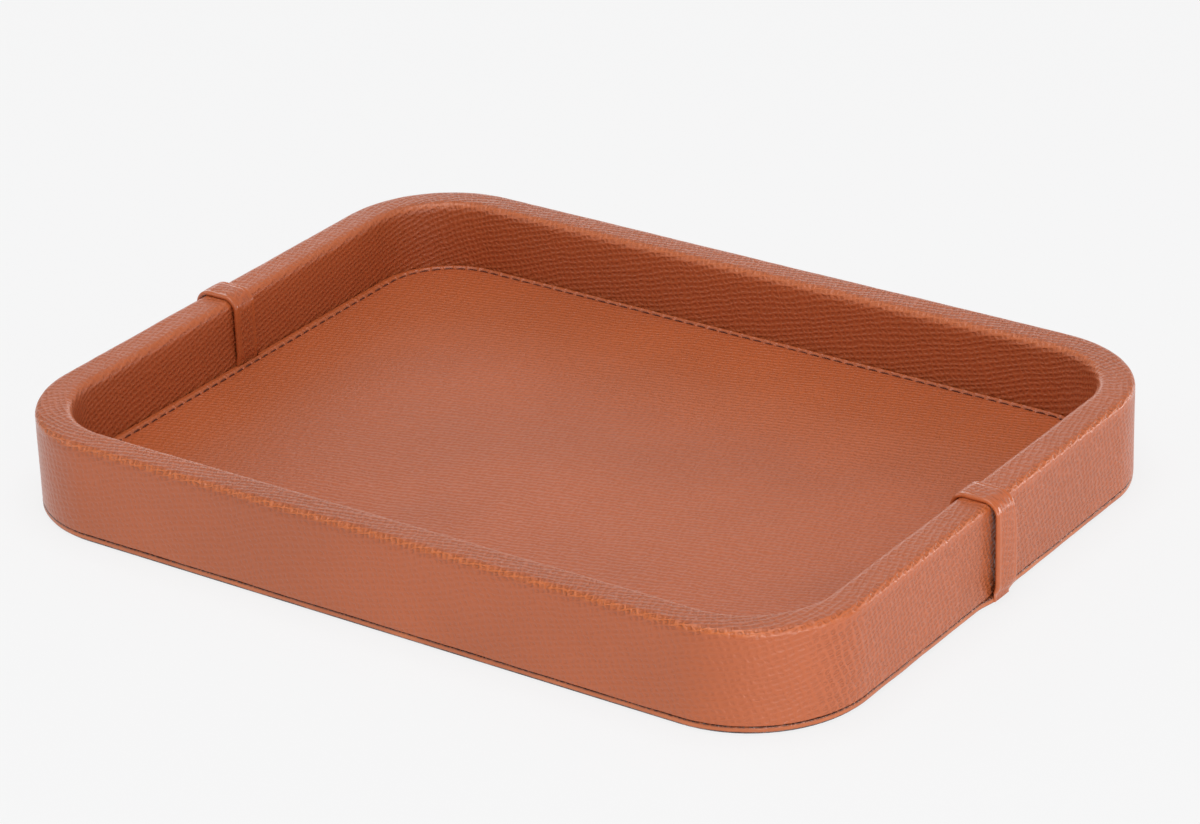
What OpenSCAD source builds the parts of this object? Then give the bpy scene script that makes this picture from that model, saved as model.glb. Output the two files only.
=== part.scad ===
// Leather tray. Four wooden rails and four curved corners, doweled into a ring, are
// wrapped in leather, stand on a leather-edged base board and hold a stitched leather mat.
// A leather strap over the middle of each end wall covers the joint of the wrapping.
// Millimetres, +Z up, origin at the middle of the footprint on the table.

/* [Tray] */
// Length over the leather walls, along X
tray_l = 340; // [290:5:400]
// Width over the leather walls, along Y
tray_w = 259.5; // [220:0.5:300]
// Height of the rim's top face above the table
tray_h = 38; // [32:0.5:50]
// Plan radius of the outer corners
corner_r = 44.5; // [38:0.5:52]

/* [Rim] */
// Thickness of the wall, leather included
rim_t = 13.6; // [12.8:0.1:17]
// Radius of the rim's outer top edge
rim_outer_r = 2.5; // [1.2:0.1:3.5]
// Radius of the rim's inner top edge
rim_inner_r = 3.4; // [1.4:0.1:4.5]
// Thickness of the leather round the rim
wrap_t = 0.8; // [0.6:0.1:1]
// Width of the hem that the leather turns in under the frame
wrap_hem_w = 6.5; // [4:0.5:6.5]
// Radius of the fold at the foot of the outer wall
wrap_fold_r = 0.6; // [0.3:0.1:0.7]
// Gap between the front and back leather, under each strap
wrap_seam_gap = 0.4; // [0.2:0.1:1]

/* [Base] */
// Thickness of the base with its leather edge
base_t = 2.5; // [2.1:0.1:4]
// Thickness of the leather round the edge of the base
base_leather_t = 0.5; // [0.4:0.1:0.7]
// Width of the leather hems on the two faces of the base
base_hem_w = 6; // [4:0.5:6.5]
// Radius of the leather edge of the base
base_edge_r = 0.9; // [0.5:0.1:1]
// Thickness of the felt lining under the base
lining_t = 0.5; // [0.4:0.1:1.2]
// How far the lining stays in from the edge of the base
lining_inset = 1.2; // [1:0.1:4]

/* [Floor and mat] */
// Thickness of the floor board inside the frame
floor_t = 6; // [5:0.1:8]
// Clearance between the floor board and the frame
floor_fit = 0.1; // [0:0.05:0.3]
// Thickness of the mat, leather and board
mat_t = 2.7; // [2.2:0.1:4]
// Thickness of the leather of the mat
mat_leather_t = 1; // [0.8:0.1:1.2]
// Radius of the mat's top edge
mat_edge_r = 1; // [0.4:0.1:1.2]
// Width of the rolled strip along the edge of the mat
mat_roll_w = 6; // [5:0.5:10]
// Clearance between the mat and the walls
mat_fit = 0.2; // [0.1:0.05:0.5]

/* [Stitching] */
// Pitch of the stitches
stitch_pitch = 5.1; // [4:0.1:8]
// Length of thread that shows in each stitch
stitch_l = 3.8; // [2.5:0.1:3.9]
// Radius of the thread
thread_r = 0.27; // [0.2:0.01:0.28]
// Angle of each stitch to its row, in degrees
stitch_slant = 5; // [0:1:7]
// Distance from the end walls to the stitch row
stitch_end_inset = 3.7; // [3.4:0.1:4.5]
// Distance from the long walls to the stitch row
stitch_side_inset = 2.4; // [2.1:0.1:4.5]
// Radius of the groove that the stitches lie in
groove_r = 0.7; // [0.65:0.01:0.75]
// Depth of that groove below the face of the mat
groove_depth = 0.64; // [0.62:0.01:0.66]
// Clearance between the thread and the wall of the groove
thread_fit = 0.02; // [0:0.01:0.04]

/* [Straps] */
// Width of each strap
strap_w = 11.6; // [8:0.1:16]
// Thickness of each strap, stiffener included
strap_t = 1.7; // [1.5:0.1:2.2]
// Thickness of the strap's leather, on its face and at its turned sides
strap_leather_t = 0.9; // [0.7:0.1:1.1]
// Radius of the strap's turned edges
strap_edge_r = 0.8; // [0.3:0.1:0.9]
// How much narrower, on each side, the end behind the leather of the base is
tab_shoulder = 0.8; // [0.4:0.1:2]
// Clearance round that end
tab_fit = 0.1; // [0.05:0.05:0.2]
// Half length of the bulge that it raises in the edge of the base
bulge_half_l = 17; // [13:0.5:22]

/* [Fixings] */
// Radius of the dowels between rails and corners
dowel_r = 2.5; // [2:0.25:3]
// Length of those dowels
dowel_l = 20; // [14:1:24]
// Radius of the base screws
screw_r = 1.5; // [1.25:0.05:1.75]
// Length of the base screws
screw_l = 14; // [10:0.5:18]
// Radius of the head of a base screw
screw_head_r = 2.7; // [2.3:0.1:2.8]
// Height of the countersunk head
screw_head_h = 1.5; // [1:0.1:1.8]
// Radius of the brads that hold the floor board
brad_r = 0.7; // [0.5:0.05:0.9]
// Length of those brads
brad_l = 18; // [17:0.5:24]
// Radius of a brad's head
brad_head_r = 1.3; // [1.1:0.1:1.4]
// Height of a brad's head
brad_head_h = 0.8; // [0.5:0.1:1]

/* [Hidden] */
// Places along half a rail, as shares of it
long_screw_shares = [-0.75, -0.25, 0.25, 0.75];
short_screw_shares = [-0.6, 0.6];
long_brad_shares = [-0.85, -0.5, 0, 0.5, 0.85];
short_brad_shares = [-0.8, 0, 0.8];
// Heights of the dowels, as shares of the frame's height
dowel_height_shares = [0.3, 0.72];
// How far a cut runs past the face that it opens, and a joined piece into its neighbour
overrun = 1;

// Heights above the table
base_z = lining_t;
frame_z = base_z + base_t;
floor_z = frame_z + floor_t;
mat_z = floor_z + mat_t;
frame_top_z = tray_h - wrap_t;

// Half sizes of the outline, and the centres of its corners
half_l = tray_l / 2;
half_w = tray_w / 2;
corner_x = half_l - corner_r;
corner_y = half_w - corner_r;

// Distances in from the outer face of the wall
frame_outer_s = wrap_t;
frame_inner_s = rim_t - wrap_t;
hem_s = wrap_t + wrap_hem_w;
screw_s = (hem_s + frame_inner_s) / 2;
mat_s = rim_t + mat_fit;
mat_board_s = mat_s + mat_leather_t;

// The stitch row is a rounded rectangle of its own
stitch_half_l = half_l - rim_t - stitch_end_inset;
stitch_half_w = half_w - rim_t - stitch_side_inset;
stitch_corner_r = corner_r - rim_t - (stitch_end_inset + stitch_side_inset) / 2;
groove_z = mat_z + groove_r - groove_depth;

// Each straight stitch clears the wall of the groove at its ends, also where the row curves
stitch_end_shift = stitch_l / 2 * sin(stitch_slant) + stitch_l * stitch_l / (8 * stitch_corner_r);
thread_reach = groove_r - thread_r - thread_fit;
thread_z = groove_z - sqrt(thread_reach * thread_reach - stitch_end_shift * stitch_end_shift);

// The strap's stiffener, and its skived end behind the leather of the base
strap_core_w = strap_w - 2 * strap_leather_t;
strap_core_t = strap_t - strap_leather_t;
tab_w = strap_w - 2 * tab_shoulder;
tab_t = strap_leather_t;
tab_z = base_z + base_leather_t + tab_fit;
bulge_out = tab_t + tab_fit + base_leather_t;
bulge_r = (bulge_half_l * bulge_half_l + bulge_out * bulge_out) / (2 * bulge_out);

dowel_zs = [for (share = dowel_height_shares) frame_z + share * (frame_top_z - frame_z)];
brad_z = frame_z + floor_t / 2;

// Facets of a drawn circle: most of them, the shallow bulge, the groove and the thread
$fn = 96;
bulge_fn = 720;
groove_fn = 48;
thread_fn = 16;

// Rounded rectangle, s in from the tray's outer faces
module outline(s) {
    rounded_rectangle(half_l - s, half_w - s, corner_r - s);
}

module rounded_rectangle(half_x, half_y, r) {
    square([2 * half_x, 2 * (half_y - r)], center = true);
    square([2 * (half_x - r), 2 * half_y], center = true);
    for (x = [-1, 1], y = [-1, 1])
        translate([x * (half_x - r), y * (half_y - r)])
            circle(r);
}

module slab(s, z_low, z_high) {
    translate([0, 0, z_low])
        linear_extrude(z_high - z_low)
            outline(s);
}

// Section of an upright wall between two faces, with its top edges rounded
module wall_section(x_in, x_out, z_low, z_high, r_in, r_out) {
    translate([x_in, z_low])
        square([x_out - x_in, z_high - z_low - max(r_in, r_out)]);
    translate([x_in + r_in, z_low])
        square([x_out - x_in - r_in - r_out, z_high - z_low]);
    translate([x_in, z_low])
        square([r_in, z_high - z_low - r_in]);
    translate([x_out - r_out, z_low])
        square([r_out, z_high - z_low - r_out]);
    translate([x_in + r_in, z_high - r_in])
        circle(r_in);
    translate([x_out - r_out, z_high - r_out])
        circle(r_out);
}

// What is cut off a lower outer edge to round it
module edge_cut_section(r) {
    difference() {
        translate([-r, -overrun])
            square([r + overrun, r + overrun]);
        translate([-r, r])
            circle(r);
    }
}

// Sweeps of a section whose x is measured outwards from the outline
module along_side(turn, reach, from, to) {
    rotate([0, 0, turn])
        translate([reach, (from + to) / 2, 0])
            rotate([90, 0, 0])
                linear_extrude(to - from, center = true)
                    children();
}

module round_corner(turn, centre_x, centre_y, r) {
    translate([centre_x, centre_y, 0])
        rotate([0, 0, turn])
            rotate_extrude(angle = 90)
                translate([r, 0])
                    children();
}

// A closed ring of the section round a rounded rectangle
module along_outline(half_x, half_y, r) {
    for (turn = [0, 180])
        along_side(turn, half_x, r - half_y, half_y - r)
            children();
    for (turn = [90, 270])
        along_side(turn, half_y, r - half_x, half_x - r)
            children();
    round_corner(0, half_x - r, half_y - r, r)
        children();
    round_corner(90, r - half_x, half_y - r, r)
        children();
    round_corner(180, r - half_x, r - half_y, r)
        children();
    round_corner(270, half_x - r, r - half_y, r)
        children();
}

module frame_section() {
    difference() {
        wall_section(
            -frame_inner_s, -frame_outer_s, frame_z, frame_top_z,
            rim_inner_r - wrap_t, rim_outer_r - wrap_t
        );
        translate([-hem_s, frame_z - overrun])
            square([hem_s, wrap_t + overrun]);
    }
}

// Leather over the frame, from its hem up and over the rim and down to the floor board
module wrap_section() {
    difference() {
        union() {
            wall_section(-rim_t, 0, floor_z, tray_h, rim_inner_r, rim_outer_r);
            translate([-hem_s, frame_z])
                square([hem_s, floor_z - frame_z]);
        }
        frame_section();
        translate([0, frame_z])
            edge_cut_section(wrap_fold_r);
    }
}

module base_cover_section() {
    difference() {
        translate([-base_hem_w, base_z])
            square([base_hem_w, base_t]);
        translate([-base_hem_w - overrun, base_z + base_leather_t])
            square([base_hem_w + overrun - base_leather_t, base_t - 2 * base_leather_t]);
        translate([0, base_z])
            edge_cut_section(base_edge_r);
        translate([0, frame_z])
            mirror([0, 1])
                edge_cut_section(base_edge_r);
    }
}

module mat_roll_section() {
    difference() {
        translate([mat_fit - mat_roll_w, floor_z])
            square([mat_roll_w - mat_fit, mat_t]);
        translate([0, mat_z])
            mirror([0, 1])
                edge_cut_section(mat_edge_r);
    }
}

// Fixings at their places. Each list holds turn, reach of the outline and place along it.
screw_places = concat(
    [for (turn = [90, 270], share = long_screw_shares) [turn, half_w, share * corner_x]],
    [for (turn = [0, 180], share = short_screw_shares) [turn, half_l, share * corner_y]]
);
brad_places = concat(
    [for (turn = [90, 270], share = long_brad_shares) [turn, half_w, share * corner_x]],
    [for (turn = [0, 180], share = short_brad_shares) [turn, half_l, share * corner_y]]
);
dowel_places = concat(
    [for (turn = [90, 270], end = [-1, 1]) [turn, half_w, end * corner_x]],
    [for (turn = [0, 180], end = [-1, 1]) [turn, half_l, end * corner_y]]
);

module at_screws() {
    for (place = screw_places)
        rotate([0, 0, place[0]])
            translate([place[1] - screw_s, place[2], base_z])
                children();
    for (x = [-1, 1], y = [-1, 1])
        translate([x * corner_x, y * corner_y, base_z])
            rotate([0, 0, atan2(y, x)])
                translate([corner_r - screw_s, 0, 0])
                    children();
}

module at_brads() {
    for (place = brad_places)
        rotate([0, 0, place[0]])
            translate([place[1] - frame_outer_s, place[2], brad_z])
                rotate([0, -90, 0])
                    children();
}

module at_dowels() {
    for (place = dowel_places, z = dowel_zs)
        rotate([0, 0, place[0]])
            translate([place[1] - rim_t / 2, place[2], z])
                rotate([90, 0, 0])
                    children();
}

module screw_body() {
    cylinder(h = screw_l, r = screw_r);
    cylinder(h = screw_head_h, r1 = screw_head_r, r2 = screw_r);
}

module brad_body() {
    cylinder(h = brad_l, r = brad_r);
    cylinder(h = brad_head_h, r = brad_head_r);
}

module dowel_body() {
    cylinder(h = dowel_l, r = dowel_r, center = true);
}

module fixing_holes() {
    at_screws() screw_body();
    at_brads() brad_body();
    at_dowels() dowel_body();
}

module underside_lining() {
    color("#3b2a22")
        slab(lining_inset, 0, lining_t);
}

module base_board() {
    color("#b08d62")
        difference() {
            union() {
                slab(base_hem_w, base_z, frame_z);
                slab(base_leather_t, base_z + base_leather_t, frame_z - base_leather_t);
            }
            at_screws() screw_body();
        }
}

// The leather edge bulges where a strap's end goes down behind it
module base_cover() {
    color("#b5623a")
        difference() {
            union() {
                along_outline(half_l, half_w, corner_r)
                    base_cover_section();
                for (end = [-1, 1])
                    translate([0, 0, base_z])
                        linear_extrude(base_t)
                            bulge_outline(end);
            }
            for (turn = [0, 180])
                rotate([0, 0, turn])
                    tab_pocket();
        }
}

module bulge_outline(end) {
    intersection() {
        translate([end * (half_l + bulge_out - bulge_r), 0])
            circle(bulge_r, $fn = bulge_fn);
        translate([end * (half_l - base_leather_t + bulge_r / 2), 0])
            square([bulge_r, 2 * bulge_half_l + overrun], center = true);
    }
}

module tab_pocket() {
    translate([half_l, -tab_w / 2 - tab_fit, tab_z - tab_fit])
        cube([tab_t + tab_fit, tab_w + 2 * tab_fit, frame_z]);
}

module base_screws() {
    color("#c9ccd0")
        at_screws() screw_body();
}

module floor_board() {
    color("#b08d62")
        difference() {
            slab(frame_inner_s + floor_fit, frame_z, floor_z);
            at_brads() brad_body();
        }
}

module floor_brads() {
    color("#c9ccd0")
        at_brads() brad_body();
}

module rail(turn, reach, half) {
    color("#c7a678")
        difference() {
            along_side(turn, reach, -half, half)
                frame_section();
            fixing_holes();
        }
}

module frame_corner(turn, x, y) {
    color("#bb9768")
        difference() {
            round_corner(turn, x * corner_x, y * corner_y, corner_r)
                frame_section();
            fixing_holes();
        }
}

module frame_dowels() {
    color("#d9bd8c")
        at_dowels() dowel_body();
}

// One length of leather, from under one strap round the front to under the other
module wrap_half() {
    seam = wrap_seam_gap / 2;
    along_side(270, half_w, -corner_x, corner_x)
        wrap_section();
    along_side(0, half_l, -corner_y, -seam)
        wrap_section();
    along_side(180, half_l, seam, corner_y)
        wrap_section();
    round_corner(180, -corner_x, -corner_y, corner_r)
        wrap_section();
    round_corner(270, corner_x, -corner_y, corner_r)
        wrap_section();
}

module rim_wrap_front() {
    color("#b5623a")
        wrap_half();
}

module rim_wrap_back() {
    color("#b5623a")
        mirror([0, 1, 0])
            wrap_half();
}

// Room for the straps' inner ends, with a margin for the leather round it
module strap_notches(margin) {
    for (turn = [0, 180])
        rotate([0, 0, turn])
            translate([
                half_l - rim_t - strap_t - mat_fit - margin,
                -strap_w / 2 - mat_fit - margin,
                floor_z - overrun
            ])
                cube([
                    strap_t + mat_fit + margin + overrun,
                    strap_w + 2 * (mat_fit + margin),
                    mat_t + 2 * overrun
                ]);
}

module mat_board() {
    color("#8f8271")
        difference() {
            slab(mat_board_s, floor_z, mat_z - mat_leather_t);
            strap_notches(mat_leather_t);
        }
}

module mat_leather() {
    color("#a8552f")
        difference() {
            union() {
                slab(rim_t + mat_roll_w, floor_z, mat_z);
                along_outline(half_l - mat_s, half_w - mat_s, corner_r - mat_s)
                    mat_roll_section();
            }
            strap_notches(0);
            difference() {
                slab(mat_board_s, floor_z - overrun, mat_z - mat_leather_t);
                strap_notches(mat_leather_t);
            }
            along_outline(stitch_half_l, stitch_half_w, stitch_corner_r)
                translate([0, groove_z])
                    circle(groove_r, $fn = groove_fn);
        }
}

module stitch() {
    rotate([0, 0, stitch_slant])
        rotate([90, 0, 0])
            cylinder(h = stitch_l, r = thread_r, center = true, $fn = thread_fn);
}

module stitch_row(turn, reach, half) {
    count = round(2 * half / stitch_pitch);
    for (i = [0:count - 1])
        rotate([0, 0, turn])
            translate([reach, (2 * (i + 1 / 2) / count - 1) * half, thread_z])
                stitch();
}

module stitch_arc(turn, x, y) {
    count = round(PI / 2 * stitch_corner_r / stitch_pitch);
    for (i = [0:count - 1])
        translate([x * (stitch_half_l - stitch_corner_r), y * (stitch_half_w - stitch_corner_r), 0])
            rotate([0, 0, turn + 90 * (i + 1 / 2) / count])
                translate([stitch_corner_r, 0, thread_z])
                    stitch();
}

module mat_stitching() {
    color("#4a2418") {
        for (turn = [0, 180])
            stitch_row(turn, stitch_half_l, stitch_half_w - stitch_corner_r);
        for (turn = [90, 270])
            stitch_row(turn, stitch_half_w, stitch_half_l - stitch_corner_r);
        stitch_arc(0, 1, 1);
        stitch_arc(90, -1, 1);
        stitch_arc(180, -1, -1);
        stitch_arc(270, 1, -1);
    }
}

// Sections of the strap: x is the height over the rim's leather, y runs across the strap
module strap_skin_section() {
    difference() {
        union() {
            translate([0, -strap_w / 2])
                square([strap_t - strap_edge_r, strap_w]);
            translate([0, strap_edge_r - strap_w / 2])
                square([strap_t, strap_w - 2 * strap_edge_r]);
            for (side = [-1, 1])
                translate([strap_t - strap_edge_r, side * (strap_w / 2 - strap_edge_r)])
                    circle(strap_edge_r);
        }
        strap_core_section(overrun);
    }
}

module strap_core_section(under) {
    translate([-under, -strap_core_w / 2])
        square([strap_core_t + under, strap_core_w]);
}

// Up the outer wall, over the rim and down the inner wall to the floor board
module over_rim() {
    translate([half_l, 0, frame_z])
        linear_extrude(tray_h - rim_outer_r - frame_z)
            children();
    translate([half_l - rim_outer_r, 0, tray_h - rim_outer_r])
        rotate([90, 0, 0])
            rotate_extrude(angle = 90)
                translate([rim_outer_r, 0])
                    children();
    translate([half_l - rim_outer_r, 0, tray_h])
        rotate([0, -90, 0])
            linear_extrude(rim_t - rim_outer_r - rim_inner_r)
                children();
    translate([half_l - rim_t + rim_inner_r, 0, tray_h - rim_inner_r])
        rotate([90, 0, 0])
            rotate([0, 0, 90])
                rotate_extrude(angle = 90)
                    translate([rim_inner_r, 0])
                        children();
    translate([half_l - rim_t, 0, floor_z])
        mirror([1, 0, 0])
            linear_extrude(tray_h - rim_inner_r - floor_z)
                children();
}

module strap_skin() {
    color("#b5623a") {
        over_rim()
            strap_skin_section();
        translate([half_l, -tab_w / 2, tab_z])
            cube([tab_t, tab_w, frame_z - tab_z]);
    }
}

module strap_core() {
    color("#8f8271")
        over_rim()
            strap_core_section(0);
}

underside_lining();
base_board();
base_cover();
base_screws();
floor_board();
floor_brads();
rail(270, half_w, corner_x);  // rail_front
rail(90, half_w, corner_x);  // rail_back
rail(180, half_l, corner_y);  // rail_left
rail(0, half_l, corner_y);  // rail_right
frame_corner(180, -1, -1);  // corner_front_left
frame_corner(270, 1, -1);  // corner_front_right
frame_corner(90, -1, 1);  // corner_back_left
frame_corner(0, 1, 1);  // corner_back_right
frame_dowels();
rim_wrap_front();
rim_wrap_back();
mat_board();
mat_leather();
mat_stitching();
mirror([1, 0, 0]) strap_core();  // strap_core_left
strap_core();  // strap_core_right
mirror([1, 0, 0]) strap_skin();  // strap_left
strap_skin();  // strap_right
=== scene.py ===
"""A leather tray dressed round its frame: wrapped walls, straps, base edge and stitched mat."""
import math

import bmesh
import bpy
from mathutils import Matrix, Vector, noise


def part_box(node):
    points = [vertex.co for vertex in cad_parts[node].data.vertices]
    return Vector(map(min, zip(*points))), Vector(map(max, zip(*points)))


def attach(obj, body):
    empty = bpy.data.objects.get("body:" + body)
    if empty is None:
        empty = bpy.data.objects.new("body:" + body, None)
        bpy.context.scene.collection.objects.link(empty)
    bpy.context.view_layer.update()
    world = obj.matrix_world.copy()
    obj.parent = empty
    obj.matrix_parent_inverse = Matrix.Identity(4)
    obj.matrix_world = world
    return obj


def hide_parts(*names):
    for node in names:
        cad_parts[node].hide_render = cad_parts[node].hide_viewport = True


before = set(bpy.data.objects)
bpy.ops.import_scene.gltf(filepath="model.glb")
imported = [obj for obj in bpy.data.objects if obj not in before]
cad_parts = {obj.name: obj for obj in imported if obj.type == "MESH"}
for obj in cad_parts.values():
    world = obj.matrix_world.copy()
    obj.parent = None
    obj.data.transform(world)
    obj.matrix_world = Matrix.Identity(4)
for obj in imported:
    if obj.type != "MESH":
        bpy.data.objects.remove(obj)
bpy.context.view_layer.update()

MM = 0.001
QUARTER = math.pi / 2
UP = Vector((0, 0, 1))
OVER = Vector((0, -1, 0))

# Sizes that the frame gives
wall_low, wall_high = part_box("rim_wrap_front")
rail_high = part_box("rail_front")[1]
strap_low, strap_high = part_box("strap_right")
base_low, base_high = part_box("base_cover")
mat_low, mat_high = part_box("mat_leather")
core_low, core_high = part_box("strap_core_right")
HALF_L = wall_high.x
HALF_W = -wall_low.y
RIM_Z = wall_high.z
FOOT_Z = wall_low.z
LEATHER_T = RIM_Z - rail_high.z
WALL_T = rail_high.y - wall_low.y + LEATHER_T
CORNER_X = rail_high.x
CORNER_R = HALF_L - CORNER_X
CORNER_Y = HALF_W - CORNER_R
BEND_R = CORNER_R - WALL_T / 2
FLOOR_Z = mat_low.z
MAT_Z = mat_high.z
MAT_EDGE_X = mat_high.x
MAT_FIT = HALF_L - WALL_T - MAT_EDGE_X
STRAP_T = strap_high.x - HALF_L
STRAP_W = strap_high.y - strap_low.y
STRAP_FOOT_Z = strap_low.z
CORE_T = core_high.x - HALF_L
CORE_W = core_high.y - core_low.y
BASE_Z = base_low.z
BASE_T = base_high.z - base_low.z
OUTLINE_BENDS = [
    ((CORNER_X * x, CORNER_Y * y, 0), UP) for x, y in ((1, 1), (-1, 1), (-1, -1), (1, -1))]

# Meshing: the step round the walls, and two distances that count as none
PATH_STEP = 1.0 * MM
WELD = 0.01 * MM
TINY = 0.001 * MM

# The leather round the walls
RIM_OUTER_R = 2.5 * MM
RIM_INNER_R = 3.4 * MM
FOLD_R = 0.6 * MM
HEM_W = 6.5 * MM
SEAM_GAP = 0.4 * MM
RIM_WALL_H = RIM_Z - RIM_OUTER_R - FOOT_Z - FOLD_R
RIM_INNER_H = RIM_Z - RIM_INNER_R - FLOOR_Z
RIM_TOP_W = WALL_T - RIM_OUTER_R - RIM_INNER_R

# Places across that leather, measured over it from the start of its hem
WALL_START = HEM_W + LEATHER_T
TOP_START = WALL_START + RIM_WALL_H + QUARTER * RIM_OUTER_R
OUTER_EDGE = WALL_START + RIM_WALL_H + QUARTER * RIM_OUTER_R / 2
INNER_EDGE = TOP_START + RIM_TOP_W + QUARTER * RIM_INNER_R / 2

# Its rubbed lines, a lighter orange that is partly real wear and partly painted light on the
# rounded edges: full and faded width to each side, share, and how much less at the ends
OUTER_WEAR_W = (0.5 * MM, 1.7 * MM)
OUTER_WEAR_OFF = 0.2 * MM
OUTER_WEAR = 0.95
OUTER_WEAR_LESS = 0.55
INNER_WEAR_W = (0.4 * MM, 2.2 * MM)
INNER_WEAR = 0.6
INNER_WEAR_LESS = 0.35

# Where its grain is pressed flat: shares, and the lengths over which they fade
FLAT_TOP = 0.45
FLAT_OUTER_WALL = 0.66
FLAT_INNER_WALL = 0.44
FLAT_BAND = 0.75
FLAT_BAND_W = (0.6 * MM, 1.6 * MM)
FLAT_BAND_BELOW = 1.3 * MM
FLAT_INNER_EDGE = 0.6
FLAT_INNER_EDGE_W = (0.6 * MM, 2.0 * MM)
EDGE_FADE = 4 * MM
END_FADE = 8 * MM
OUTER_END_FADE = 9 * MM

# The straps
STRAP_LOW_R = 0.75 * MM
STRAP_TOP_R = 0.9 * MM
STRAP_STEP = 0.6 * MM
STRAP_CROWN = 0.12 * MM
CREASE_D = 0.10 * MM
CREASE_IN = 1.9 * MM
CREASE_W = 0.45 * MM
TAB_T = 0.9 * MM
TAB_SHOULDER = 0.8 * MM
TAPER_H = 2.6 * MM

# How far the straps stand off the wall: outside, more at the far edge, at the foot and inside
STRAP_OFF = 2.0 * MM
STRAP_LEAN = 0.9 * MM
STRAP_OFF_FOOT = 1.0 * MM
STRAP_OFF_INSIDE = 0.6 * MM
LEAN_FADE = 8 * MM
INSIDE_FADE = 5 * MM

# Where their edges are rubbed and pressed flat, from how far in to how far in
STRAP_WEAR = 0.22
STRAP_WEAR_IN = (2.6 * MM, 0.9 * MM)
STRAP_FLAT = 0.35
STRAP_FLAT_IN = (3.2 * MM, 1.4 * MM)

# The leather edge of the base
BASE_HEM_W = 6.0 * MM
BASE_EDGE_R = 1.05 * MM
BASE_LEATHER_T = 0.5 * MM
BULGE_OUT = 1.7 * MM
BULGE_FLAT = 1.0 * MM
BULGE_REACH = 13.5 * MM

# Where it is loose enough to wave, by how far out and how high up it lies, its dark paint in the
# joint above the lip, and the painted shadow under the lip
BASE_LOOSE_OUT = (-2.0 * MM, -0.3 * MM)
BASE_LOOSE_UP = (0.3, 0.8)
PAINT_ABOVE_W = 0.30 * MM
SHADOW_BELOW_H = (0.45 * MM, 0.80 * MM)

# The mat
MAT_EDGE_R = 1.0 * MM
MAT_LEATHER_T = 1.0 * MM
MAT_STRIP_W = 6.0 * MM
MAT_FINE_W = 5.0 * MM
MAT_STEP = 0.5 * MM
MAT_GRID = 6.0 * MM
NOTCH_REACH = 3.0 * MM
NOTCH_FADE = 1.0 * MM
MAT_WEAR = 0.25
MAT_FLAT = 0.55
MAT_WEAR_OUT = (-0.2 * MM, 0.9 * MM)

# Its stitching
STITCH_PITCH = 5.1 * MM
STITCH_L = 3.8 * MM
STITCH_END_INSET = 3.7 * MM
STITCH_SIDE_INSET = 2.4 * MM
STITCH_SLANT = math.radians(5)
STITCH_SUNK = 0.14 * MM
STITCH_DIP = 0.42 * MM
STITCH_SLIM = 0.45
STITCH_RINGS = (-0.9, -0.7, -0.4, 0, 0.4, 0.7, 0.9)
THREAD_R = 0.30 * MM
THREAD_TWIST = 0.75 * MM
ROW_R = CORNER_R - WALL_T - (STITCH_END_INSET + STITCH_SIDE_INSET) / 2
ROW_X = HALF_L - WALL_T - STITCH_END_INSET - ROW_R
ROW_Y = HALF_W - WALL_T - STITCH_SIDE_INSET - ROW_R
STITCHES_LONG = round(2 * ROW_X / STITCH_PITCH)
STITCHES_SHORT = round(2 * ROW_Y / STITCH_PITCH)
STITCHES_CORNER = round(QUARTER * ROW_R / STITCH_PITCH)

# The groove that the stitches pull in, and the mat's rolled edge, in millimetres
GROOVE_W = 0.52
GROOVE_D = 0.45
HOLE_R = 0.38
HOLE_D = 0.26
ROLL_H = 0.50
ROLL_START = 0.15
ROLL_END = 1.4

# The pucker between two stitches: its place in their pitch, and how it changes those
PUCKER_PLACE = (0.34, 0.46)
PUCKER_GROOVE = 0.30
PUCKER_ROLL_H = 0.10
PUCKER_ROLL_START = 0.6
PUCKER_ROLL_END = 0.3

# How far the leather's soft waves move it, and how wide they are
RIM_SLACK = (0.16 * MM, 24 * MM)
RIM_RIPPLE = (0.06 * MM, 6 * MM)
STRAP_RIPPLE = (0.07 * MM, 7 * MM)
BASE_SLACK = (0.16 * MM, 14 * MM)
BASE_RIPPLE = (0.22 * MM, 3.2 * MM)
MAT_SLACK = (0.14 * MM, 30 * MM)
MAT_RIPPLE = (0.04 * MM, 7 * MM)

# The grain pressed into the leather
GRAIN_W = 2.4 * MM
GRAIN_H = 2.1 * MM
GRAIN_TURN = math.radians(16)
CREASES_ACROSS = 1100
CREASES_ALONG = 260

# The room. The table lies a little below the felt, so that the two faces never coincide.
TABLE_HALF_W = 3.0
TABLE_DROP = 0.1 * MM
TABLE_GLOW = 0.82
SURROUND_GLOW = 0.4

# The camera, from the perspective of the photograph
CAMERA_LENS = 136.29
CAMERA_DISTANCE = 1.6367
CAMERA_TURN = math.radians(35.294)
CAMERA_LIFT = math.radians(25.572)
CAMERA_ROLL = math.radians(-1.922)
CAMERA_ASIDE = 5.5 * MM
CAMERA_ABOVE = 25.6 * MM


# Places on the tray

def smooth_step(low, high, value):
    share = min(max((value - low) / (high - low), 0.0), 1.0)
    return share * share * (3 - 2 * share)


def near(full, none, distance):
    """1 as far as full from a line, fading to 0 at none from it."""
    return 1 - smooth_step(full, none, abs(distance))


def outward(x, y):
    """How far a point lies out from the outer face of the walls, seen from above."""
    x, y = abs(x), abs(y)
    if x <= CORNER_X:
        return y - HALF_W
    if y <= CORNER_Y:
        return x - HALF_L
    return math.hypot(x - CORNER_X, y - CORNER_Y) - CORNER_R


def along(x, y):
    """Distance round the front half from its middle, anticlockwise, at the middle of the wall."""
    side = math.copysign(1, x)
    x = abs(x)
    if y >= -CORNER_Y:
        return side * (CORNER_X + QUARTER * BEND_R + y + CORNER_Y)
    if x <= CORNER_X:
        return side * x
    return side * (CORNER_X + BEND_R * math.atan2(x - CORNER_X, -y - CORNER_Y))


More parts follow.
